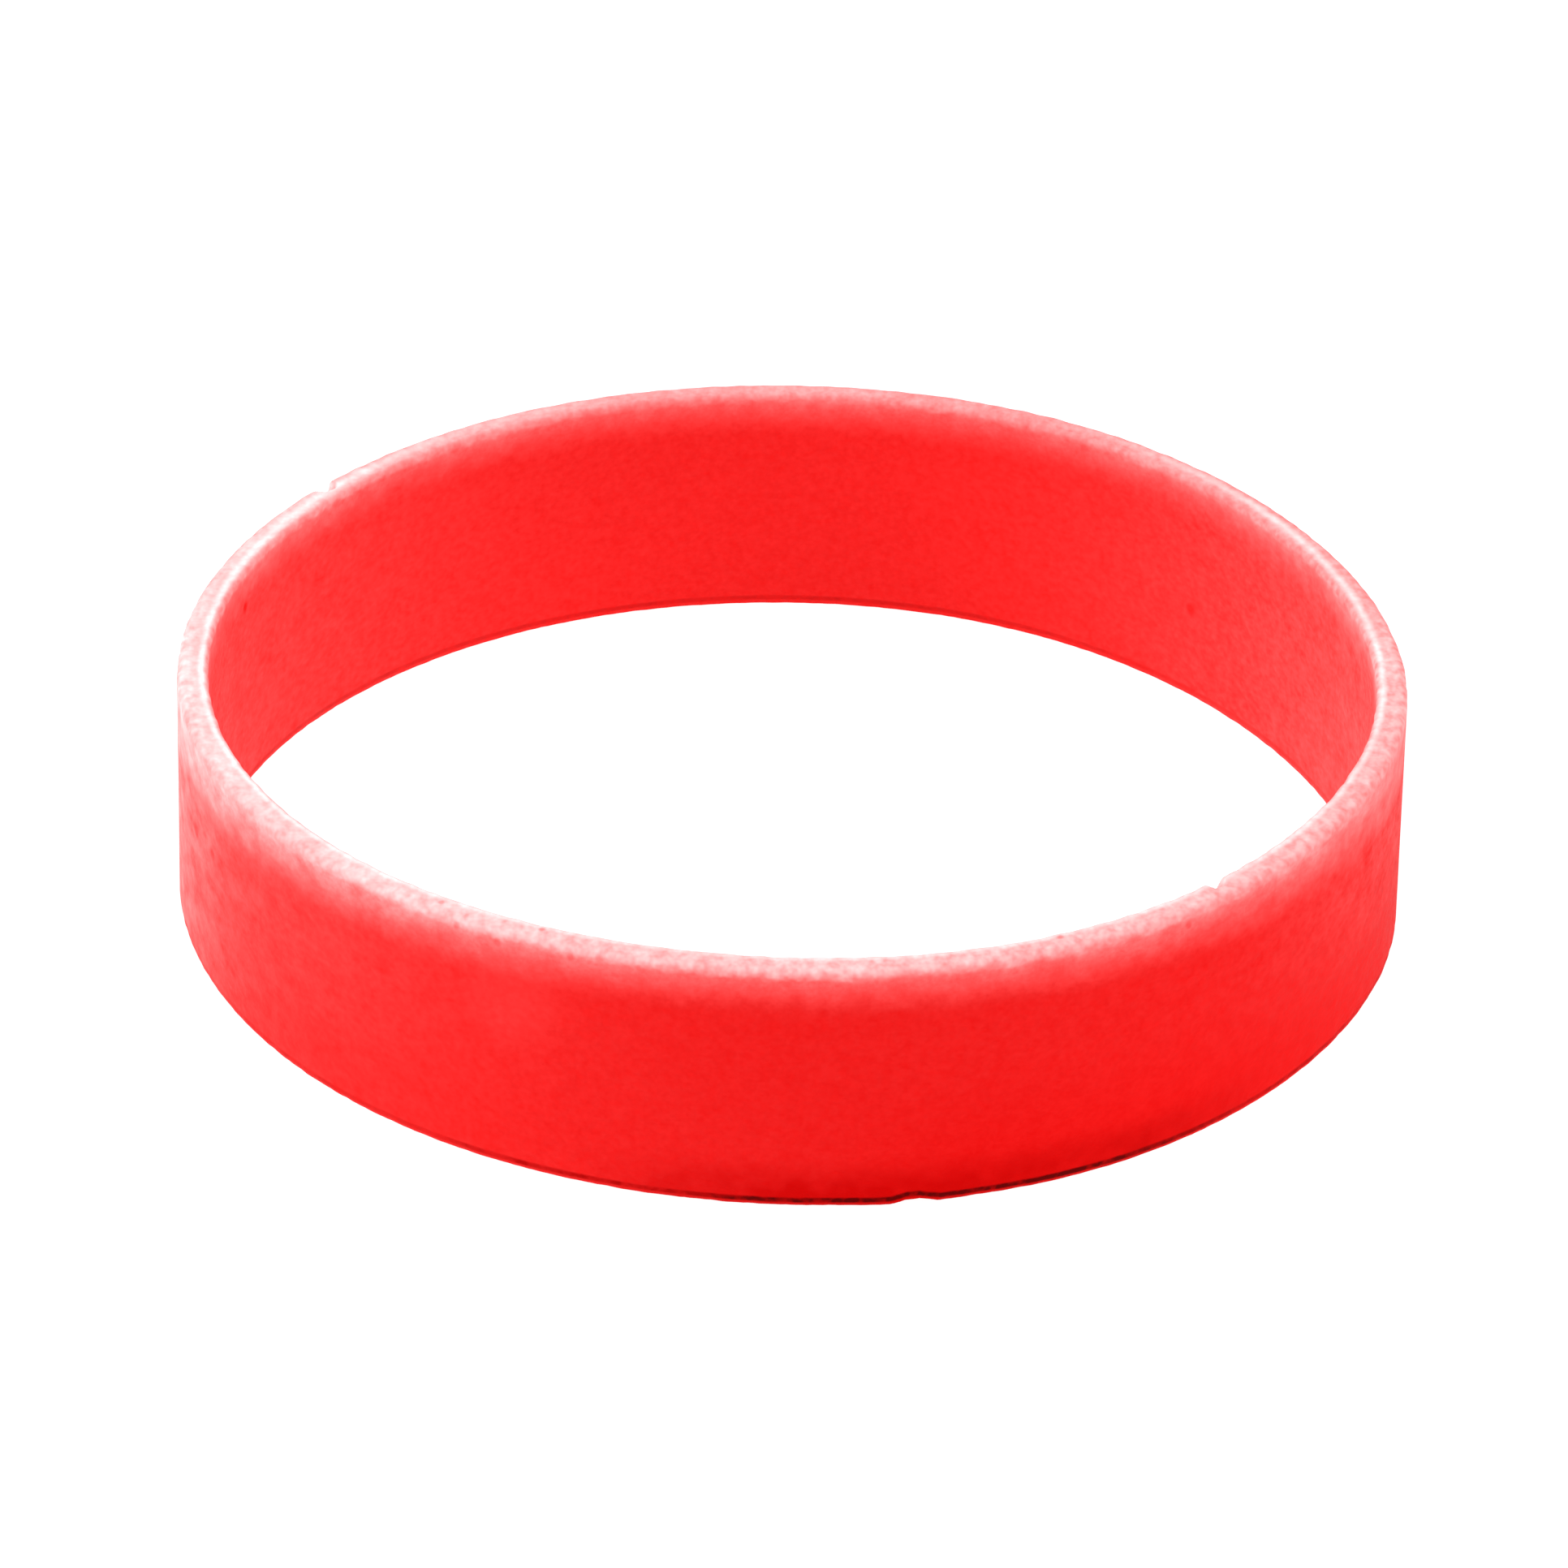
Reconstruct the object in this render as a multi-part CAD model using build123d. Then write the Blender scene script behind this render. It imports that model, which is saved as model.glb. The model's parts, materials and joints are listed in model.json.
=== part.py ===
from build123d import *
import math
import os

# A moulded silicone wristband: one closed loop of rubber with a flat wall and softly rounded edges.
# The origin is the centre of the loop on the surface that it lies on, and +Z runs through the loop.
# All sizes are in millimetres.

# The length of the band round its inside is what such bands are sold by.
inner_length = 180.0
band_height = 12.7
wall = 1.5

# The mould leaves the edge against the skin a little sharper than the outer one.
outer_edge_radius = 0.4
inner_edge_radius = 0.3

inner_radius = inner_length / (2 * math.pi)


def band_section():
    # The wall cut across: a tall rectangle that stands on the surface, with its four corners rounded.
    # The outer pair is looked up after the inner pair is rounded, because that makes the section anew.
    with BuildSketch(Plane.XZ) as section:
        with Locations((inner_radius, 0)):
            Rectangle(wall, band_height, align=(Align.MIN, Align.MIN))
        inner_corners = section.vertices().group_by(Axis.X)[0]
        fillet(inner_corners, inner_edge_radius)
        outer_corners = section.vertices().group_by(Axis.X)[-1]
        fillet(outer_corners, outer_edge_radius)
    return section.sketch


def band():
    # The section turned once round the middle of the loop.
    return revolve(band_section(), axis=Axis.Z)


os.makedirs("parts", exist_ok=True)
export_step(band(), "parts/band.step")
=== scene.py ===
import json
import math

import bpy
import numpy as np
from mathutils import Matrix, Vector


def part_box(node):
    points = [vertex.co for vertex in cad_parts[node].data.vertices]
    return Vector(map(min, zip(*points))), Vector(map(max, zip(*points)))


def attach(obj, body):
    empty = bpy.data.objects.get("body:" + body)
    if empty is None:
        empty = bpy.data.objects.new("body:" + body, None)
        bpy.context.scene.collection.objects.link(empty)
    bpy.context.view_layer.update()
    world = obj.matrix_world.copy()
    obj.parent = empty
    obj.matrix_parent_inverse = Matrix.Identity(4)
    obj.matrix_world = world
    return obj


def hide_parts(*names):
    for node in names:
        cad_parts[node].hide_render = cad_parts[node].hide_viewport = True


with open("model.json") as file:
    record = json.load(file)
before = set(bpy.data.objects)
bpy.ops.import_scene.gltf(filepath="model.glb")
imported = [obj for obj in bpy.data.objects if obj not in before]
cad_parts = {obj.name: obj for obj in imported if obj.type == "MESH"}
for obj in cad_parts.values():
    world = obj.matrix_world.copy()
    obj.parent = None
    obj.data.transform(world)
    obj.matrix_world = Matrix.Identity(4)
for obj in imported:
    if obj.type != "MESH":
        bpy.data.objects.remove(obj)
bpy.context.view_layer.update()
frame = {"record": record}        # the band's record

mm = 0.001
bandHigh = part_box("band")[1]             # the band's own far corner
bore = next(mount for mount in frame["record"]["mounts"] if mount["name"] == "wrist_bore")

# The band's wall, in millimetres. Angles are in degrees from +X towards +Y.
band = {
    "outerRadius": bandHigh.x / mm,
    "innerRadius": bore["dims"]["r_mm"],
    "height": bandHigh.z / mm,
    "outerEdge": 0.4,        # radius of the rounded edges
    "innerEdge": 0.3,
    "columns": 760,          # sections round the loop, before the chips get more
    "chipStep": 0.05,        # how finely a chip is cut
    "chipMargin": 0.2,       # degrees beside a chip that are cut as finely
    "leastTurn": 0.02,       # degrees: a section nearer than this to the next one is left out
    "edgeSteps": 7,          # faces round an edge
    "nearEdge": 0.8,         # the stretch of wall under the upper rim's edges that is divided finely
    "nearSteps": 8,
    "footSteps": 4,          # steps from the foot's rounded edges up to that same height
    "wallSteps": 10,         # steps over the rest of the wall
    "landSteps": 8,          # steps over the flat of a rim
    "lean": -0.0134,         # change of radius for each millimetre of height
}

# How far the soft loop is from round: waves round it, by which the radius changes, and by which it changes
# more from the lower rim to the upper one. Millimetres, the cosine's and the sine's share of each.
outOfRound = {
    "waves": (1, 2, 3, 4, 5, 6),
    "radiusCos": (0.0, 0.0, -0.059, 0.039, 0.041, 0.031),
    "radiusSin": (0.0, -0.017, -0.091, 0.003, -0.004, -0.014),
    "leanCos": (-0.040, -0.048, 0.024, -0.050, 0.0, 0.0),
    "leanSin": (-0.197, 0.067, -0.064, 0.035, 0.0, 0.0),
}

# Small unevenness that the mould and handling leave, in millimetres
ripple = {
    "seed": 7,
    "wavesFrom": 9,
    "wavesTo": 180,
    "radius": 0.020,
    "radiusLow": 0.013,      # the same at the foot
    "height": 0.016,
    "edgesOnly": 5.0,        # how closely it keeps to the two edges: 1 is evenly, more is closer
}

# Chips in the edges. Each is a slanted cut: "across" is measured on the rim and "down" on the wall, from
# where the two would meet if the edge were sharp. "share" is how much of that is cut at each angle.
chips = {
    "upperOuterEdge": {
        "rim": "upper",
        "wall": "outside",
        "across": 1.15,
        "down": 1.10,
        "angle": (143.7, 143.90, 144.2, 145.0, 146.2, 147.0),
        "share": (0.0, 0.50, 0.78, 0.82, 0.65, 0.0),
    },
    "upperInnerEdge": {
        "rim": "upper",
        "wall": "inside",
        "across": 1.00,
        "down": 0.80,
        "angle": (312.0, 312.4, 313.2, 313.9, 314.3, 314.8),
        "share": (0.0, 0.71, 0.77, 0.78, 0.44, 0.0),
    },
    "lowerOuterEdge": {
        "rim": "lower",
        "wall": "outside",
        "across": 0.78,
        "down": 0.44,
        "angle": (277.6, 278.6, 279.6, 280.4, 281.0, 282.2, 283.0, 284.0, 285.0),
        "share": (0.0, 0.36, 0.46, 0.70, 0.92, 0.95, 0.68, 0.44, 0.0),
    },
}

# The foot is pushed out a little around its dent
swell = {
    "angle": 281.0,
    "spread": 6.0,           # degrees to each side
    "height": 2.5,           # how far up it reaches, in mm
    "out": 0.15,
}

# Small marks: face, angle, place (height on a wall, or distance from the inner edge on the rim), size and
# strength. Millimetres. The strength is a share of the pale painted highlight and sheen that is added, or
# below 0 one that is taken off, as it is in small pits. The four that add it at 140.1, 143.9, 143.75 and
# 314.2 degrees are painted highlights on and beside the two chips. The last two are broad, faint patches.
marks = (
    ("inside", 43.6, 5.25, 0.45, -0.7),
    ("inside", 165.3, 10.69, 0.42, -1.0),
    ("outside", 199.2, 7.71, 0.60, -0.5),
    ("outside", 204.3, 7.84, 0.45, -0.5),
    ("outside", 342.9, 9.01, 0.50, -0.5),
    ("outside", 251.0, 12.18, 0.26, -0.4),
    ("outside", 307.7, 12.01, 0.28, -0.4),
    ("outside", 239.9, 12.36, 0.26, -0.4),
    ("outside", 244.0, 12.09, 0.28, -0.4),
    ("rim", 295.3, 0.46, 0.24, -0.5),
    ("rim", 247.4, 0.48, 0.24, -0.5),
    ("rim", 237.2, 0.66, 0.24, -0.4),
    ("rim", 140.1, 0.55, 0.58, 0.20),
    ("rim", 143.9, 0.62, 0.40, 0.08),
    ("outside", 143.75, 12.30, 0.55, 0.35),
    ("inside", 314.2, 12.30, 0.50, 0.30),
    ("rim", 195.5, 0.95, 5.00, -0.11),
    ("outside", 245.5, 9.20, 3.30, 0.012),
)
markCore = 0.25              # the share of a mark's size within which it has its full strength


def wallSection():
    # The wall cut across, as a closed line that goes up the outside, in over the upper rim, down the
    # inside and out under the lower rim. Its corners are quarter circles.
    outerEdge, innerEdge = band["outerEdge"], band["innerEdge"]
    outer, inner, top = band["outerRadius"], band["innerRadius"], band["height"]
    near = band["nearEdge"]

    def run(start, end, steps):
        # even steps along a straight line, without its last point
        share = np.arange(steps)[:, None] / steps
        return np.array(start) + np.subtract(end, start) * share

    def edge(centreRho, centreZ, radius, startDegrees):
        # even steps round a quarter circle, without its last point
        turn = np.radians(startDegrees + 90 * np.arange(band["edgeSteps"]) / band["edgeSteps"])
        return np.stack([centreRho + radius * np.cos(turn), centreZ + radius * np.sin(turn)], 1)

    return np.concatenate([
        run((outer, outerEdge), (outer, near), band["footSteps"]),
        run((outer, near), (outer, top - near - outerEdge), band["wallSteps"]),
        run((outer, top - near - outerEdge), (outer, top - outerEdge), band["nearSteps"]),
        edge(outer - outerEdge, top - outerEdge, outerEdge, 0),
        run((outer - outerEdge, top), (inner + innerEdge, top), band["landSteps"]),
        edge(inner + innerEdge, top - innerEdge, innerEdge, 90),
        run((inner, top - innerEdge), (inner, top - near - innerEdge), band["nearSteps"]),
        run((inner, top - near - innerEdge), (inner, near), band["wallSteps"]),
        run((inner, near), (inner, innerEdge), band["footSteps"]),
        edge(inner + innerEdge, innerEdge, innerEdge, 180),
        run((inner + innerEdge, 0), (outer - outerEdge, 0), band["landSteps"]),
        edge(outer - outerEdge, outerEdge, outerEdge, 270),
    ])


def columnAngles():
    # Even steps round the loop, with finer ones where a chip is cut.
    angles = [np.linspace(0, 360, band["columns"], endpoint=False)]
    for chip in chips.values():
        first = chip["angle"][0] - band["chipMargin"]
        last = chip["angle"][-1] + band["chipMargin"]
        count = int(math.radians(last - first) * band["outerRadius"] / band["chipStep"])
        angles.append(np.linspace(first, last, count))
    merged = np.sort(np.concatenate(angles))
    keep = np.append(np.diff(merged) > band["leastTurn"], True)
    return merged[keep]


def chipShare(chip, angles):
    # How much of a chip is cut at each angle, in straight lines between those that it states.
    return np.interp(angles, chip["angle"], chip["share"], left=0, right=0)


def cutChip(rho, z, angles, chip):
    # Points that lie beyond the slanted plane x / across + y / down = share, where x is the distance into
    # the wall and y the distance from the rim, are drawn back to it along the cut's own slope: half of what
    # they lack is made up in x and half in y.
    share = chipShare(chip, angles)[:, None]
    across, down = chip["across"], chip["down"]
    x = (band["outerRadius"] - rho) if chip["wall"] == "outside" else (rho - band["innerRadius"])
    y = (band["height"] - z) if chip["rim"] == "upper" else z
    beyond = np.clip(share - np.maximum(x, 0) / across - np.maximum(y, 0) / down, 0, None) / 2
    rho = rho + beyond * across * (-1 if chip["wall"] == "outside" else 1)
    z = z + beyond * down * (-1 if chip["rim"] == "upper" else 1)
    return rho, z


def shiftOutOfRound(turn, z):
    # The change of radius at turn (radians) and height z: the sum over the waves w of c cos(w turn)
    # + s sin(w turn), once as it is and once times the height's share from -1/2 to 1/2, and the even lean.
    phase = turn * np.array(outOfRound["waves"])
    radius = np.cos(phase) @ outOfRound["radiusCos"] + np.sin(phase) @ outOfRound["radiusSin"]
    lean = np.cos(phase) @ outOfRound["leanCos"] + np.sin(phase) @ outOfRound["leanSin"]
    level = z / band["height"] - 0.5
    return radius[..., None] + (lean[..., None] + band["lean"] * band["height"]) * level


def addRipple(rho, z, turn):
    # Sums of many waves of random strength and offset round the loop, one for the radius and one for the
    # height at each rim. They fade with the distance from their rim, and the foot's height only rises.
    rng = np.random.default_rng(ripple["seed"])
    waves = np.arange(ripple["wavesFrom"], ripple["wavesTo"])
    shares = rng.normal(size=(4, len(waves))) / np.sqrt(len(waves))
    offsets = rng.uniform(0, 2 * np.pi, size=(4, len(waves)))
    upperRadius, lowerRadius, upperHeight, lowerHeight = (
        (np.cos(turn * waves + offset) * share).sum(1)[:, None]
        for offset, share in zip(offsets, shares))
    upward = z / band["height"]
    above, below = upward ** ripple["edgesOnly"], (1 - upward) ** ripple["edgesOnly"]
    rho = rho + ripple["radius"] * upperRadius * above + ripple["radiusLow"] * lowerRadius * below
    z = z + ripple["height"] * (upperHeight * above + np.abs(lowerHeight) * below)
    return rho, z


def bandMesh():
    # A point of the skin is (rho cos a, rho sin a, z): a goes round the loop, and rho and z follow the
    # wall's section, after the chips are cut, plus the waves of a loop that isn't quite round, the swelling
    # and the ripple. The swelling is (1 - (degrees from its middle / spread)^2)^2 and fades evenly upwards.
    section = wallSection()
    angles = columnAngles()
    rho = np.broadcast_to(section[:, 0], (len(angles), len(section)))
    z = np.broadcast_to(section[:, 1], (len(angles), len(section)))
    for chip in chips.values():
        rho, z = cutChip(rho, z, angles, chip)
    across = (rho - band["innerRadius"]) / (band["outerRadius"] - band["innerRadius"])

    turn = np.radians(angles)[:, None]
    rho = rho + shiftOutOfRound(turn, z)
    aside = np.clip(1 - ((angles[:, None] - swell["angle"]) / swell["spread"]) ** 2, 0, None)
    rho = rho + swell["out"] * aside ** 2 * np.clip(1 - z / swell["height"], 0, None)
    rho, z = addRipple(rho, z, turn)

    points = np.stack([rho * np.cos(turn), rho * np.sin(turn), z], 2) * mm
    mesh = gridMesh("bandSkin", points)
    # Two values for the finish: how far through the wall a point lies, from 0 on the inner face to 1 on the
    # outer one, and how far the dent lifts the foot's line there, in metres.
    dent, liftFrom = chips["lowerOuterEdge"], foot["lineLiftFrom"]
    lifted = np.clip(chipShare(dent, angles) - liftFrom, 0, None) / (1 - liftFrom) * dent["down"] * mm
    setValues(mesh, "across", across)
    setValues(mesh, "lift", np.broadcast_to(lifted[:, None], across.shape))
    return mesh


def setValues(mesh, name, values):
    attribute = mesh.attributes.new(name, "FLOAT", "POINT")
    attribute.data.foreach_set("value", values.astype(np.float32).ravel())


def gridMesh(name, points):
    # A surface that closes on itself both ways: point (i, j) is joined to (i + 1, j) and (i, j + 1), and the
    # last of each back to the first.
    count, across = points.shape[:2]
    index = np.arange(count * across).reshape(count, across)
    ahead, upwards = np.roll(index, -1, 0), np.roll(index, -1, 1)
    both = np.roll(ahead, -1, 1)
    faces = np.stack([index, ahead, both, upwards], 2).reshape(-1, 4)
    mesh = bpy.data.meshes.new(name)
    mesh.vertices.add(count * across)
    mesh.vertices.foreach_set("co", points.astype(np.float32).ravel())
    mesh.loops.add(faces.size)
    mesh.loops.foreach_set("vertex_index", faces.astype(np.int32).ravel())
    mesh.polygons.add(len(faces))
    mesh.polygons.foreach_set("loop_start", np.arange(0, faces.size, 4, dtype=np.int32))
    mesh.polygons.foreach_set("use_smooth", np.ones(len(faces), dtype=bool))
    mesh.update(calc_edges=True)
    mesh.validate()
    return mesh


# The noises that the finish is made of, by their size in millimetres
noises = {
    "fine": {"size": 0.24, "detail": 1.0, "roughness": 0.60},
    "coarse": {"size": 0.80, "detail": 2.0, "roughness": 0.55},
    "patchy": {"size": 0.38, "detail": 1.3, "roughness": 0.50},
    "blotchy": {"size": 1.40, "detail": 1.3, "roughness": 0.60},
    "cloudy": {"size": 9.0, "detail": 2.0, "roughness": 0.50},
}
noiseSpan = (0.3, 0.7)       # a noise's value mostly stays between these

# A Mix node that mixes colours: the numbers of its sockets
mixSocket = {"factor": 0, "first": 6, "second": 7, "result": 2}


class Value:
    # A number or colour that varies over the surface: the output of a shader node. Sums, products and so on
    # of such numbers make the Math nodes that work them out.

    def __init__(self, tree, socket):
        self.tree = tree
        self.socket = socket

    def __add__(self, other):
        return mathNode(self.tree, "ADD", self, other)

    def __sub__(self, other):
        return mathNode(self.tree, "SUBTRACT", self, other)

    def __rsub__(self, other):
        return mathNode(self.tree, "SUBTRACT", other, self)

    def __mul__(self, other):
        return mathNode(self.tree, "MULTIPLY", self, other)

    def __truediv__(self, other):
        return mathNode(self.tree, "DIVIDE", self, other)

    def __pow__(self, other):
        return mathNode(self.tree, "POWER", self, other)

    def __abs__(self):
        return mathNode(self.tree, "ABSOLUTE", self, 0.0)


def plug(tree, value, socket):
    # A socket is linked to a value, or set to a colour or a plain number.
    if isinstance(value, Value):
        tree.links.new(value.socket, socket)
    elif isinstance(value, tuple):
        socket.default_value = (*value, 1)
    else:
        socket.default_value = value


def mathNode(tree, operation, first, second):
    node = tree.nodes.new("ShaderNodeMath")
    node.operation = operation
    plug(tree, first, node.inputs[0])
    plug(tree, second, node.inputs[1])
    return Value(tree, node.outputs["Value"])


def larger(first, second):
    return mathNode(first.tree, "MAXIMUM", first, second)


def smaller(first, second):
    return mathNode(first.tree, "MINIMUM", first, second)


def remap(value, low, high, toLow=0.0, toHigh=1.0, smooth=False, clamp=True):
    # A value that runs from low to high made to run from toLow to toHigh.
    node = value.tree.nodes.new("ShaderNodeMapRange")
    node.interpolation_type = "SMOOTHSTEP" if smooth else "LINEAR"
    node.clamp = clamp
    node.inputs["From Min"].default_value = low
    node.inputs["From Max"].default_value = high
    node.inputs["To Min"].default_value = toLow
    node.inputs["To Max"].default_value = toHigh
    plug(value.tree, value, node.inputs["Value"])
    return Value(value.tree, node.outputs["Result"])


def around(noise, spread, middle=1.0):
    # A noise made to run mostly from middle - spread to middle + spread.
    return remap(noise, *noiseSpan, middle - spread, middle + spread, clamp=False)


def mix(first, second, factor):
    # The first colour where factor is 0, and the second where it is 1.
    node = factor.tree.nodes.new("ShaderNodeMix")
    node.data_type = "RGBA"
    plug(factor.tree, first, node.inputs[mixSocket["first"]])
    plug(factor.tree, second, node.inputs[mixSocket["second"]])
    plug(factor.tree, factor, node.inputs[mixSocket["factor"]])
    return Value(factor.tree, node.outputs[mixSocket["result"]])


# Each pair named "Over" says where a change across the wall begins and where it is full, as shares of the
# wall from its inner face. This one is for what keeps to the outer side.
outsideOver = (0.5, 0.9)

# The texture of the rubber, with depths in millimetres
grain = {
    "stretch": (1.0, 0.75, 1.15),    # finer up and down, longer from front to back
    "fineDepth": 0.010,
    "coarseDepth": 0.040,
    "pitDepth": 0.03,
    "speckle": 0.14,         # how far the grain shows in the painted highlight on the walls
    "speckleEnds": 0.16,     # and more of the coarser grain at the two ends
    "drift": 0.22,           # how unevenly the painted highlight thins out down the walls
    "cloud": 0.12,           # how far broad, faint clouds change the painted highlight
}


class Skin:
    # What the finish is worked out from at each point of the skin: its height in metres, how far it lies
    # towards each side as a share of the band's radius, what the mesh stores for it, and the noises.

    def __init__(self, tree):
        self.tree = tree
        self.place = tree.nodes.new("ShaderNodeTexCoord").outputs["Object"]
        self.grainPlace = self.fromPlace("MULTIPLY", grain["stretch"], "Vector")
        split = tree.nodes.new("ShaderNodeSeparateXYZ")
        tree.links.new(self.place, split.inputs["Vector"])
        self.height = Value(tree, split.outputs["Z"])
        self.across = self.stored("across")
        self.lift = self.stored("lift")
        self.rightward = larger(self.along(1, 0), 0.0)
        self.leftward = larger(self.along(-1, 0), 0.0)
        self.backward = larger(self.along(0, 1), 0.0)
        self.ends = (self.leftward + self.rightward) ** 2
        self.outside = remap(self.across, *outsideOver)
        self.fine = self.noise(**noises["fine"])
        self.coarse = self.noise(**noises["coarse"])
        self.patchy = self.noise(**noises["patchy"])
        self.blotchy = self.noise(**noises["blotchy"])
        self.cloudy = self.noise(**noises["cloudy"])

    def fromPlace(self, operation, second, output):
        # place (operation) second
        node = self.tree.nodes.new("ShaderNodeVectorMath")
        node.operation = operation
        node.inputs[1].default_value = second
        self.tree.links.new(self.place, node.inputs[0])
        return node.outputs[output]

    def along(self, x, y):
        # how far a point lies along the level direction (x, y), as a share of the band's radius
        radius = band["outerRadius"] * mm
        return Value(self.tree, self.fromPlace("DOT_PRODUCT", (x / radius, y / radius, 0), "Value"))

    def distance(self, point):
        return Value(self.tree, self.fromPlace("DISTANCE", point, "Value"))

    def stored(self, name):
        node = self.tree.nodes.new("ShaderNodeAttribute")
        node.attribute_name = name
        return Value(self.tree, node.outputs["Fac"])

    def noise(self, size, detail, roughness):
        node = self.tree.nodes.new("ShaderNodeTexNoise")
        node.inputs["Scale"].default_value = 1 / (size * mm)
        node.inputs["Detail"].default_value = detail
        node.inputs["Roughness"].default_value = roughness
        self.tree.links.new(self.grainPlace, node.inputs["Vector"])
        return Value(self.tree, node.outputs["Fac"])


# The painted highlight: how much pale colour is painted on the upper rim at each side, lightest where the
# light from above and from the left falls, and how it thins out down the walls. Shares of the pale colour,
# from 0 to 1, except where a note says otherwise.
paintedHighlight = {
    "rimAll": 0.445,         # on the rim all round
    "rimFront": 0.075,       # more of it towards the front than the back
    "rimLeft": 0.050,        # more towards the left than the right
    "rimEndLeft": 0.185,     # more towards the left end than between the ends
    "rimEndRight": 0.13,     # and towards the right end
    "rimOutside": 0.04,      # less at the outer edge than at the inner one
    "rimOutsideRight": 0.10,     # and less still there towards the right
    "rimEdgeLeft": 0.42,     # less on the outer edge itself at the left end
    "rimEdgeLeftOver": (0.65, 1.0),
    "rimEdgeBack": 0.22,     # and towards the back
    "rimEdgeBackOver": (0.80, 0.87),
    "rimInsideEnds": 0.25,   # less beside the inner edge at the two ends
    "rimInsideEndsOver": (0.20, 0.03),
    "rimInsideBack": 0.11,   # and towards the back
    "rimInsideBackOver": (0.45, 0.0),
    "mottle": 0.115,         # how unevenly it lies on the rim
    "mottleBack": 0.55,      # the share of that which is left at the back
    "line": 0.16,            # the painted highlight line along the rim
    "lineLeft": 0.14,        # more of it towards the left end
    "lineRight": 0.12,       # and towards the right one
    "lineRightBack": 0.26,   # and between that and the back
    "linePlace": 0.20,       # where it runs, as a share of the wall from the inner face
    "linePlaceBack": 0.50,   # how far it moves outwards towards the back
    "lineWidth": 0.19,       # half its width, as a share of the wall
    "lineWidthBack": 0.34,   # the same towards the back
    "lineWideAt": 0.8,       # how far back it has that width, as a share of the radius
    "lineGoneAt": 0.95,      # how far back it is gone
    "lineWholeAt": 0.5,      # and how far back it is still whole
    "edgeTop": 0.03,         # how far under the rim the painted highlight is all the rim's, in mm
    "edgeDrop": 0.55,        # and how far under it is all the wall's, in mm
    "edgeWander": 0.12,      # how far these wander up and down, in mm
    "wall": 0.20,            # on the walls just under the rim
    "wallLeft": 1.3,         # how many times more on the outer wall at the left end
    "wallRight": 0.48,       # the same at the right end
    "wallDepth": 2.6,        # how far down it reaches, in mm
    "wallDepthEnds": 3.6,    # the same on the outer wall at the two ends
    "wallFade": 2.1,         # how fast it fades: 1 is evenly, more is faster at first
    "wallFadeEnds": 0.58,    # the same on the outer wall at the two ends
    "wallFadeKeeps": 3,      # how closely that keeps to the ends: 1 is evenly, more is closer
}


def rimPaintedHighlight(skin):
    # The painted highlight on the rim: rimAll + rimFront * (towards the front) + rimLeft * (towards the
    # left)
    # + rimEndLeft or rimEndRight * (towards that end) squared - across * (rimOutside + rimOutsideRight *
    # (towards the right)) - what is missing beside the inner edge and on the outer one, and patchy, and with
    # the painted highlight line
    insideLess = (
        remap(skin.across, *paintedHighlight["rimInsideBackOver"]) * skin.backward * paintedHighlight["rimInsideBack"]
        + remap(skin.across, *paintedHighlight["rimInsideEndsOver"]) * skin.ends ** 2 * paintedHighlight["rimInsideEnds"])
    outsideLess = skin.across * (skin.rightward * paintedHighlight["rimOutsideRight"] + paintedHighlight["rimOutside"])
    edgeLess = (
        remap(skin.across, *paintedHighlight["rimEdgeLeftOver"]) * skin.ends * skin.leftward
        * paintedHighlight["rimEdgeLeft"]
        + remap(skin.across, *paintedHighlight["rimEdgeBackOver"]) * skin.backward * paintedHighlight["rimEdgeBack"])
    patches = (
        around(skin.patchy, paintedHighlight["mottle"], 0.0)
        * remap(skin.backward, 0.0, 1.0, 1.0, paintedHighlight["mottleBack"]))
    return (
        skin.along(-paintedHighlight["rimLeft"], -paintedHighlight["rimFront"]) + paintedHighlight["rimAll"]
        + skin.leftward ** 2 * paintedHighlight["rimEndLeft"] + skin.rightward ** 2 * paintedHighlight["rimEndRight"]
        - (insideLess + outsideLess + edgeLess) + patches + paintedHighlightLine(skin))


def paintedHighlightLine(skin):
    # A painted highlight line along the rim, by how far across the rim a point is from it. It fades out
    # towards the back.
    place = skin.backward * paintedHighlight["linePlaceBack"] + paintedHighlight["linePlace"]
    width = remap(
        skin.backward, 0.0, paintedHighlight["lineWideAt"], paintedHighlight["lineWidth"], paintedHighlight["lineWidthBack"])
    strength = (
        skin.leftward ** 2 * paintedHighlight["lineLeft"] + skin.rightward ** 2 * paintedHighlight["lineRight"]
        + skin.rightward * skin.backward * paintedHighlight["lineRightBack"] + paintedHighlight["line"])
    return (
        remap(abs(skin.across - place) / width, 1.0, 0.0, smooth=True)
        * remap(skin.backward, paintedHighlight["lineGoneAt"], paintedHighlight["lineWholeAt"], smooth=True) * strength)


def wallPaintedHighlight(skin, depth):
    # The painted highlight down the walls: wall * (1 - depth / wallDepth) ^ wallFade, with more on the
    # outside at the two ends, where it also reaches deeper, and with the grain in it
    endsOutside = skin.ends * skin.outside
    reach = remap(endsOutside, 0.0, 1.0, paintedHighlight["wallDepth"] * mm, paintedHighlight["wallDepthEnds"] * mm)
    fade = remap(
        endsOutside ** paintedHighlight["wallFadeKeeps"], 0.0, 1.0, paintedHighlight["wallFade"], paintedHighlight["wallFadeEnds"])
    more = (
        skin.leftward * paintedHighlight["wallLeft"] + skin.rightward * paintedHighlight["wallRight"]) * skin.outside
    speckled = (
        around(skin.fine, grain["speckle"]) + around(skin.coarse, grain["speckleEnds"], 0.0) * skin.ends)
    return (
        larger(1.0 - depth / reach, 0.0) ** fade * paintedHighlight["wall"] * (more + 1.0) * speckled
        * around(skin.blotchy, grain["drift"]))


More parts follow.
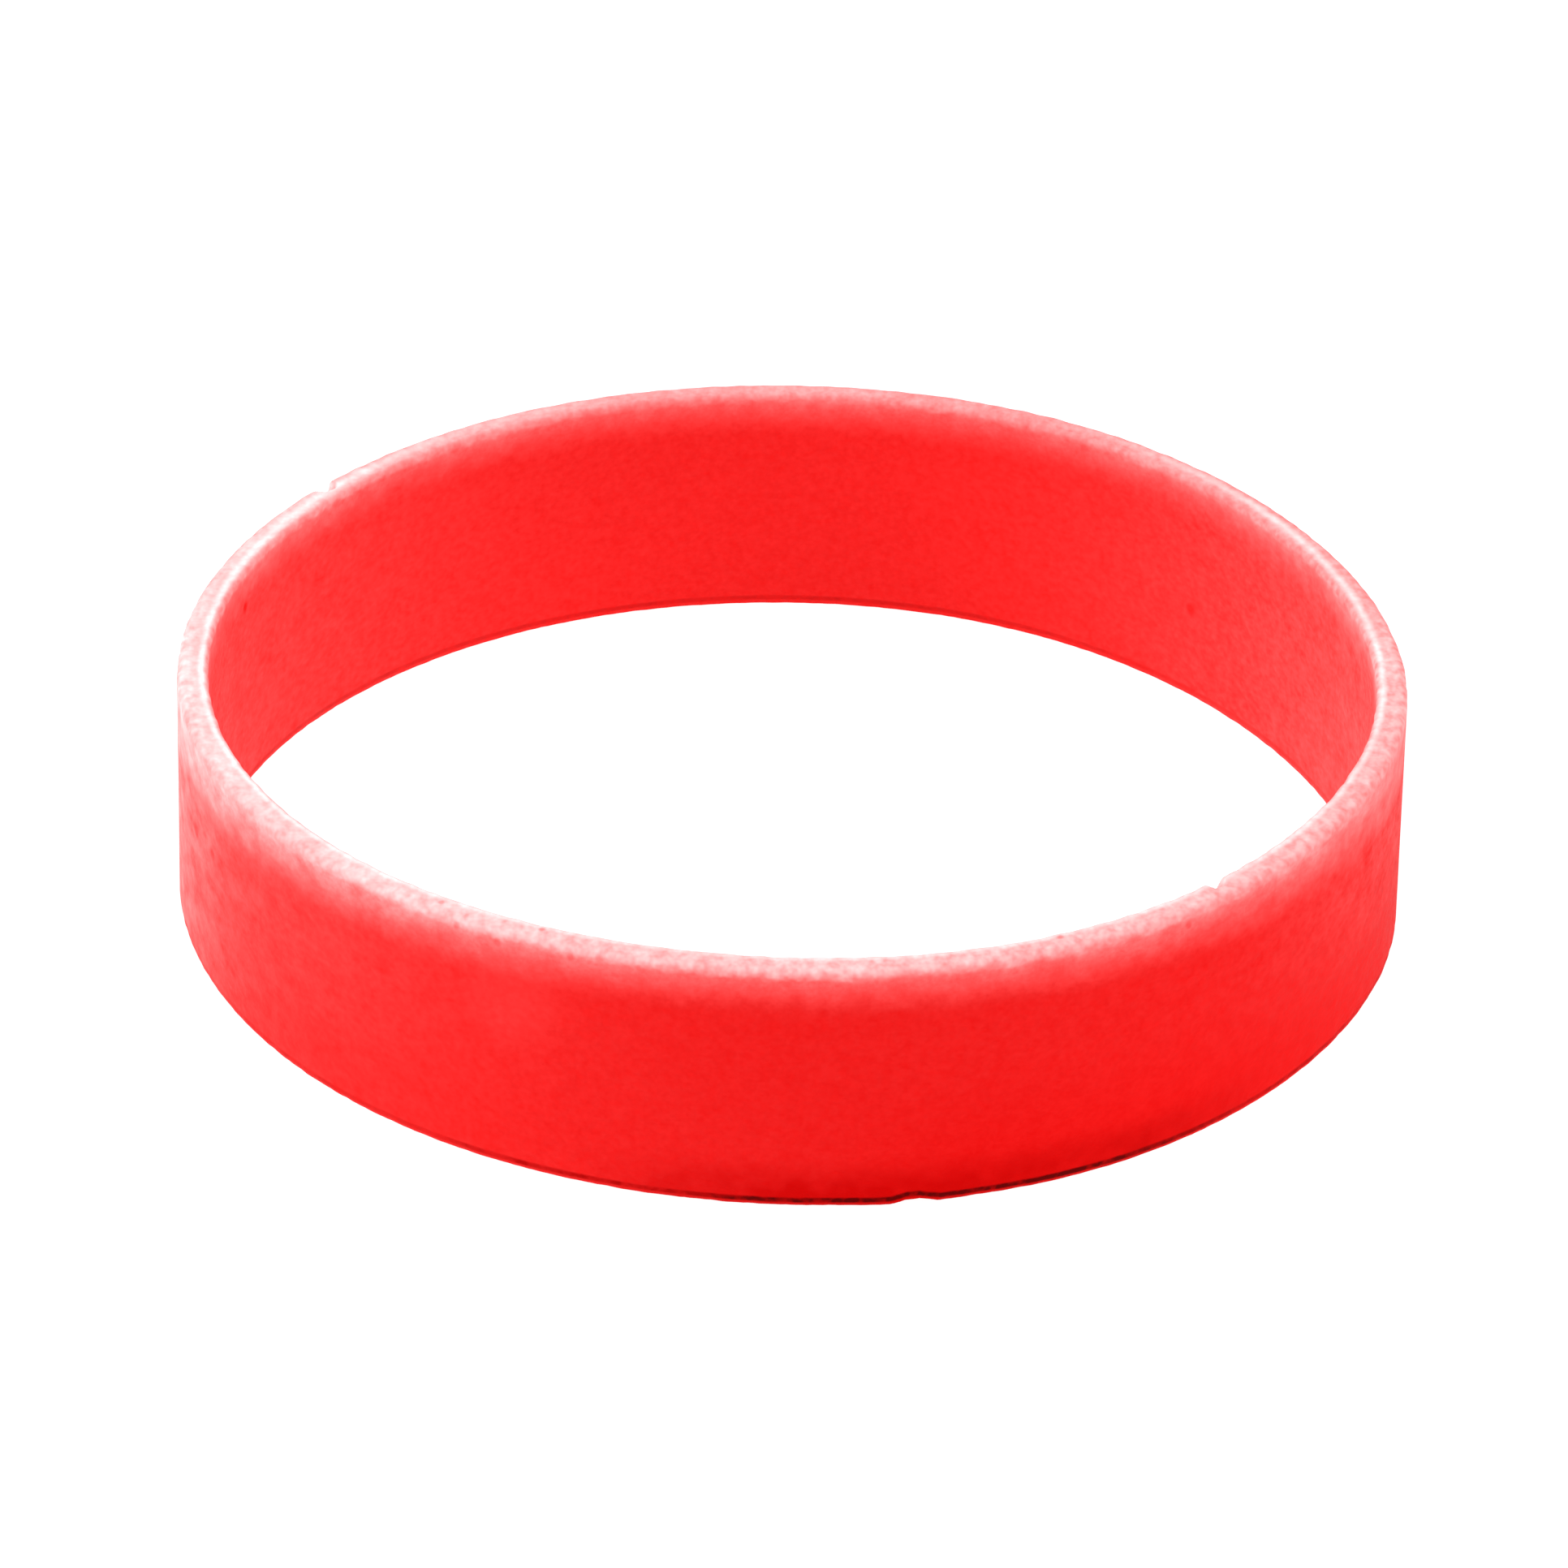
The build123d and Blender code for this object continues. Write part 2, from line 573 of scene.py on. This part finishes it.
def paintedHighlightAmount(skin):
    # The rim's painted highlight at the top and the walls' below it, with an edge between the two that
    # wanders.
    top = band["height"] * mm
    height = skin.height + around(skin.coarse, paintedHighlight["edgeWander"] * mm, 0.0)
    onRim = remap(height, top - paintedHighlight["edgeDrop"] * mm, top - paintedHighlight["edgeTop"] * mm, smooth=True)
    frosted = rimPaintedHighlight(skin) * onRim + wallPaintedHighlight(skin, top - height) * (1.0 - onRim)
    return frosted * around(skin.cloudy, grain["cloud"])


# Painted sheen and reflection on the walls, in the same pale colour as the painted highlight: evenest in
# the middle and most blotchy at the two ends, where the walls turn edge-on, and stronger on the left, where
# the lamps stand. It is thinner low down: a value whose name ends in "Low" is the share that is left at the
# foot.
paintedSheen = {
    "inside": 0.0167,        # on the inner wall all round
    "insideRight": 0.061,    # more of it towards the right end
    "insideLeft": 0.045,     # and towards the left end
    "insideKeeps": 3,        # how closely these keep to the ends: 1 is evenly, more is closer
    "insideOver": (0.1, 0.0),
    "outside": 0.009,        # on the outer wall all round
    "outsideLow": 0.10,      # only on the right half
    "rightHalfFrom": 0.3,    # how far right that has set in, as a share of the radius
    "left": 0.052,           # more outside, towards the left
    "leftLow": 0.45,
    "end": 0.19,             # and more again at the very end on the left
    "endFrom": 0.70,         # where that begins, as a share of the radius
    "endKeeps": 4,
    "endLow": 0.80,
    "right": 0.044,          # towards the right end
    "rightFrom": 0.60,
    "rightKeeps": 2,
    "rightLow": 0.0,
    "thinBelow": 1.0,        # the height below which it is thinnest, in mm
    "fullAbove": 9.0,        # and the one above which it is full
    "mottle": 0.32,          # how uneven it is outside, between the ends
    "mottleEnds": 0.12,      # the same at the ends
    "mottleRight": 0.34,     # more of that outside on the right, where the painted sheen is thin
    "mottleInside": 0.28,    # the same inside, all round
    "blotch": 0.42,          # broader blotches at the ends
    "blotchInside": 0.60,    # and the share of those inside
    "blotchRight": 0.12,     # a little more of them outside on the right
}


def paintedSheenAmount(skin):
    # Inside it grows with a power of how far along a point is towards either end. Outside there is some all
    # round, more towards the left with the square of that, more at the left end, and some towards the right
    # end. All of it is times 1 + mottle * patchy + blotch * blotchy.
    high = remap(skin.height, paintedSheen["thinBelow"] * mm, paintedSheen["fullAbove"] * mm, smooth=True)

    def thinned(atFoot):
        # 1 high up and atFoot at the foot
        return remap(high, 0.0, 1.0, atFoot, 1.0)

    inside = remap(skin.across, *paintedSheen["insideOver"]) * (
        skin.rightward ** paintedSheen["insideKeeps"] * paintedSheen["insideRight"]
        + skin.leftward ** paintedSheen["insideKeeps"] * paintedSheen["insideLeft"] + paintedSheen["inside"])
    rightHalf = remap(skin.rightward, 0.0, paintedSheen["rightHalfFrom"])
    everywhere = (rightHalf * thinned(paintedSheen["outsideLow"]) + (1.0 - rightHalf)) * paintedSheen["outside"]
    onLeft = skin.leftward ** 2 * thinned(paintedSheen["leftLow"]) * paintedSheen["left"]
    atEnd = (
        remap(skin.leftward, paintedSheen["endFrom"], 1.0) ** paintedSheen["endKeeps"]
        * thinned(paintedSheen["endLow"]) * paintedSheen["end"])
    onRight = (
        remap(skin.rightward, paintedSheen["rightFrom"], 1.0) ** paintedSheen["rightKeeps"]
        * thinned(paintedSheen["rightLow"]) * paintedSheen["right"])
    even = (everywhere + onLeft + atEnd + onRight) * skin.outside + inside

    onRightOutside = skin.rightward ** 2 * skin.outside
    mottleOutside = (
        remap(skin.ends, 0.0, 1.0, paintedSheen["mottle"], paintedSheen["mottleEnds"])
        + onRightOutside * paintedSheen["mottleRight"])
    mottle = mottleOutside * skin.outside + (1.0 - skin.outside) * paintedSheen["mottleInside"]
    blotch = (
        skin.ends * remap(skin.outside, 0.0, 1.0, paintedSheen["blotchInside"], 1.0) * paintedSheen["blotch"]
        + onRightOutside * paintedSheen["blotchRight"])
    uneven = around(skin.patchy, 1.0, 0.0) * mottle + around(skin.blotchy, 1.0, 0.0) * blotch + 1.0
    return even * larger(uneven, 0.0)


# Painted shade: the foot is darker outside, mostly on one side, with a painted contact shadow line just
# over the surface it stands on
foot = {
    "angle": 286,            # where it is darkest, in degrees
    "spread": 37,            # how far round from there it is darker, in degrees
    "height": 3.0,           # below this it gets darker, in mm
    "full": 0.7,             # below this it is at its darkest
    "uneven": 0.30,
    "line": 0.80,            # how much more of the line there is near the darkest place
    "lineSpread": 30,        # how far round that reaches
    "lineBroad": 0.13,       # how much more there is over a broader stretch
    "lineBroadFull": 39,     # how far round that is full
    "lineBroadSpread": 50,   # and how far round it reaches
    "lineElsewhere": 0.13,   # and how much there is all round, inside too
    "lineUneven": 0.30,
    "lineHeight": 0.455,     # the height of its middle, in mm
    "lineWidth": 0.195,      # how far to each side it has faded, in mm
    "lineCore": 0.05,        # and how far it is full
    "lineLift": 0.6,         # how far it rises with the foot's dent
    "lineLiftFrom": 0.38,    # the share of the dent at which that begins
    "linePure": 3.0,         # how much sooner than it darkens the painted shadow line loses its painted sheen and turns to the shaded red
    "hazeLess": 0.95,        # how much of the painted highlight and sheen is gone where the painted shade is
}


def footShade(skin):
    # How far the lowest stretch is darkened by painted shade, and how dark the painted contact shadow line
    # in it is, both from 0 to 1. Both are the product of what their height, their place round the loop and
    # the noises give.
    turn = math.radians(foot["angle"])
    aimed = skin.along(math.cos(turn), math.sin(turn))

    def within(reach, full=0):
        # outside only: 0 further round than reach from the darkest place, and 1 nearer than full
        start, end = math.cos(math.radians(reach)), math.cos(math.radians(full))
        return remap(aimed, start, end, smooth=True) * skin.outside

    low = (
        remap(skin.height, foot["height"] * mm, foot["full"] * mm, smooth=True)
        * within(foot["spread"]) * around(skin.blotchy, foot["uneven"]))
    share = (
        within(foot["lineSpread"]) * foot["line"]
        + within(foot["lineBroadSpread"], foot["lineBroadFull"]) * foot["lineBroad"]
        + foot["lineElsewhere"])
    lifted = skin.lift * skin.outside * foot["lineLift"]
    fromLine = abs(skin.height - lifted - foot["lineHeight"] * mm)
    line = (
        remap(fromLine, foot["lineWidth"] * mm, foot["lineCore"] * mm, smooth=True) * share
        * around(skin.coarse, foot["lineUneven"]) * around(skin.patchy, foot["lineUneven"]))
    return smaller(low, 1.0), smaller(line, 1.0)


def markAmounts(skin):
    # The share of the painted highlight and sheen that the pits take off, and what the other marks add, each
    # by the distance from the mark's middle.
    pits, added = 0.0, 0.0
    for face, angle, at, size, strength in marks:
        distance = skin.distance(markPlace(face, angle, at))
        amount = remap(distance, size * mm, markCore * size * mm, smooth=True) * abs(strength)
        if strength < 0:
            pits = amount + pits
        else:
            added = amount + added
    return pits, added


def markPlace(face, angle, at):
    # Where a mark lies on the skin, in metres.
    turn = np.radians(angle)
    if face == "rim":
        rho, z = band["innerRadius"] + at, band["height"]
    else:
        rho, z = (band["outerRadius"] if face == "outside" else band["innerRadius"]), at
    rho = rho + shiftOutOfRound(np.array([turn]), z)[0]
    return (rho * math.cos(turn) * mm, rho * math.sin(turn) * mm, z * mm)


# The rubber's finish. Colours are linear, lengths in millimetres.
rubber = {
    "red": (0.84, 0.0030, 0.0028),
    "paleRed": (0.88, 0.0062, 0.0059),      # the lighter specks of its grain
    "specks": (0.75, 1.25),                 # where in the sum of both grains a speck begins and is full
    "brightRed": (0.96, 0.0046, 0.0043),    # where the painted highlight and sheen begin
    "bright": (0.015, 0.05),                # the amounts of painted highlight and sheen from which, and at which, it is that red
    "footRed": (0.66, 0.0009, 0.0008),      # painted shade over the lowest stretch
    "deepRed": (0.13, 0.0002, 0.0002),      # the painted contact shadow line at the foot
    "bloom": (1.00, 0.80, 0.80),            # the pale colour of the painted highlight and painted sheen
    "roughness": 0.55,
    "roughnessSpread": 0.08,                # how far the grain changes it
    "ior": 1.41,
    "specular": 0.02,
    "sheen": 0.035,
    "sheenRoughness": 0.40,
    "subsurface": 0.10,
    "subsurfaceRadius": (1.0, 0.25, 0.2),
}


def siliconeMaterial():
    material = bpy.data.materials.new("frostedSilicone")
    material.use_nodes = True
    tree = material.node_tree
    tree.nodes.clear()
    output = tree.nodes.new("ShaderNodeOutputMaterial")
    shader = tree.nodes.new("ShaderNodeBsdfPrincipled")
    tree.links.new(shader.outputs["BSDF"], output.inputs["Surface"])
    shader.inputs["IOR"].default_value = rubber["ior"]
    shader.inputs["Specular IOR Level"].default_value = rubber["specular"]
    shader.inputs["Sheen Weight"].default_value = rubber["sheen"]
    shader.inputs["Sheen Roughness"].default_value = rubber["sheenRoughness"]
    shader.inputs["Subsurface Weight"].default_value = rubber["subsurface"]
    shader.inputs["Subsurface Radius"].default_value = rubber["subsurfaceRadius"]
    shader.inputs["Subsurface Scale"].default_value = mm

    # the amount of pale colour at each point, painted highlight and painted sheen, less what the pits and
    # the painted shade at the foot take off
    skin = Skin(tree)
    # the painted shade over the lowest stretch, and the painted contact shadow line in it
    low, shadowLine = footShade(skin)
    pits, added = markAmounts(skin)
    paintedShadeMask = smaller(larger(low, shadowLine * foot["linePure"]), 1.0)
    amount = paintedHighlightAmount(skin) + paintedSheenAmount(skin) + added
    amount = amount * (1.0 - pits) * (1.0 - paintedShadeMask * foot["hazeLess"])

    colour = mix(rubber["red"], rubber["paleRed"], remap(skin.fine + skin.coarse, *rubber["specks"]))
    # painted light over the rubber's red: painted highlight and sheen, painted shade and a painted contact
    # shadow line
    colour = mix(colour, rubber["brightRed"], remap(amount, *rubber["bright"]))
    colour = mix(colour, rubber["footRed"], paintedShadeMask)
    colour = mix(colour, rubber["deepRed"], shadowLine)
    colour = mix(colour, rubber["bloom"], amount)
    plug(tree, colour, shader.inputs["Base Color"])
    roughness = around(skin.fine, rubber["roughnessSpread"], rubber["roughness"])
    plug(tree, roughness, shader.inputs["Roughness"])

    bump = tree.nodes.new("ShaderNodeBump")
    bump.inputs["Distance"].default_value = mm
    relief = skin.fine * grain["fineDepth"] + skin.coarse * grain["coarseDepth"] - pits * grain["pitDepth"]
    plug(tree, relief, bump.inputs["Height"])
    tree.links.new(bump.outputs["Normal"], shader.inputs["Normal"])
    print("finish:", len(tree.nodes), "shader nodes")
    return material


def makeBand():
    mesh = bandMesh()
    piece = bpy.data.objects.new("bandSkin", mesh)
    bpy.context.scene.collection.objects.link(piece)
    mesh.materials.append(siliconeMaterial())
    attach(piece, "root")
    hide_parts("band")
    print("band:", len(mesh.vertices), "points,", 2 * len(mesh.polygons), "triangles")


# The camera, fitted to the outline in the photograph. Lengths in millimetres.
view = {
    "photoWidth": 1932,          # pixels
    "focalPixels": 8131.8,
    "elevation": 29.525,         # degrees above the surface
    "distance": 327.24,          # from the middle of the band
    "aimX": -0.320,
    "aimZ": 5.348,
    "roll": 1.358,               # degrees
    "sensor": 36.0,
    "clipNear": 10.0,
    "clipFar": 20000.0,
}


def makeCamera():
    elevation, roll = math.radians(view["elevation"]), math.radians(view["roll"])
    eye = Vector((0, -math.cos(elevation), math.sin(elevation))) * view["distance"]
    eye.z += band["height"] / 2
    aim = Vector((view["aimX"], 0, view["aimZ"]))
    forward = (aim - eye).normalized()
    level = forward.cross(Vector((0, 0, 1))).normalized()
    upright = level.cross(forward)
    right = math.cos(roll) * level + math.sin(roll) * upright
    up = math.cos(roll) * upright - math.sin(roll) * level
    data = bpy.data.cameras.new("camera")
    data.sensor_width = view["sensor"]
    data.lens = view["focalPixels"] * view["sensor"] / view["photoWidth"]
    data.clip_start = view["clipNear"] * mm
    data.clip_end = view["clipFar"] * mm
    camera = bpy.data.objects.new("camera", data)
    bpy.context.scene.collection.objects.link(camera)
    turned = Matrix((right, up, -forward)).transposed().to_4x4()
    camera.matrix_world = Matrix.Translation(eye * mm) @ turned
    bpy.context.scene.camera = camera
    print("camera: lens", round(data.lens, 1))


# The floor and the light. The floor is a lit white table, so it hardly shows a shadow.
studio = {
    "floorHalf": 1.5,                     # metres
    "floorColour": (0.12, 0.12, 0.12),
    "floorRoughness": 0.9,
    "floorGlowColour": (1.0, 1.0, 1.0),
    "floorGlow": 0.98,
    "skyColour": (1.0, 1.0, 1.0),
    "skyStrength": 0.40,
}

# Soft boxes: where each stands, seen from above, in degrees from +X towards +Y, how high over the surface,
# how far off and how large in metres, and its power in watts.
softBoxes = {
    "backLeft": {"angle": 150, "elevation": 50, "distance": 0.9, "size": 0.6, "power": 5.0},
    "left": {"angle": 192, "elevation": 28, "distance": 0.9, "size": 0.6, "power": 5.0},
    "front": {"angle": 268, "elevation": 50, "distance": 1.0, "size": 0.7, "power": 0.8},
    "right": {"angle": 337, "elevation": 35, "distance": 1.0, "size": 0.7, "power": 4.6},
}


def makeFloor():
    half = studio["floorHalf"]
    mesh = bpy.data.meshes.new("floor")
    corners = [(-half, -half, 0), (half, -half, 0), (half, half, 0), (-half, half, 0)]
    mesh.from_pydata(corners, [], [(0, 1, 2, 3)])
    floor = bpy.data.objects.new("floor", mesh)
    bpy.context.scene.collection.objects.link(floor)
    material = bpy.data.materials.new("paleFloor")
    material.use_nodes = True
    shader = material.node_tree.nodes["Principled BSDF"]
    shader.inputs["Base Color"].default_value = (*studio["floorColour"], 1)
    shader.inputs["Roughness"].default_value = studio["floorRoughness"]
    shader.inputs["Specular IOR Level"].default_value = 0.0
    shader.inputs["Emission Color"].default_value = (*studio["floorGlowColour"], 1)
    shader.inputs["Emission Strength"].default_value = studio["floorGlow"]
    mesh.materials.append(material)
    print("floor:", 2 * half, "m wide")


def makeLight():
    world = bpy.data.worlds.new("sky")
    world.use_nodes = True
    background = world.node_tree.nodes["Background"]
    background.inputs["Color"].default_value = (*studio["skyColour"], 1)
    background.inputs["Strength"].default_value = studio["skyStrength"]
    bpy.context.scene.world = world

    for name, box in softBoxes.items():
        angle, elevation = math.radians(box["angle"]), math.radians(box["elevation"])
        level = math.cos(elevation)
        direction = Vector((math.cos(angle) * level, math.sin(angle) * level, math.sin(elevation)))
        data = bpy.data.lights.new(name, "AREA")
        data.shape = "DISK"
        data.size = box["size"]
        data.energy = box["power"]
        lamp = bpy.data.objects.new(name, data)
        lamp.location = direction * box["distance"]
        lamp.rotation_euler = direction.to_track_quat("Z", "Y").to_euler()
        bpy.context.scene.collection.objects.link(lamp)

    bpy.context.scene.view_settings.view_transform = "Standard"
    print("light:", len(softBoxes), "soft boxes")


makeCamera()
makeBand()
makeFloor()
makeLight()
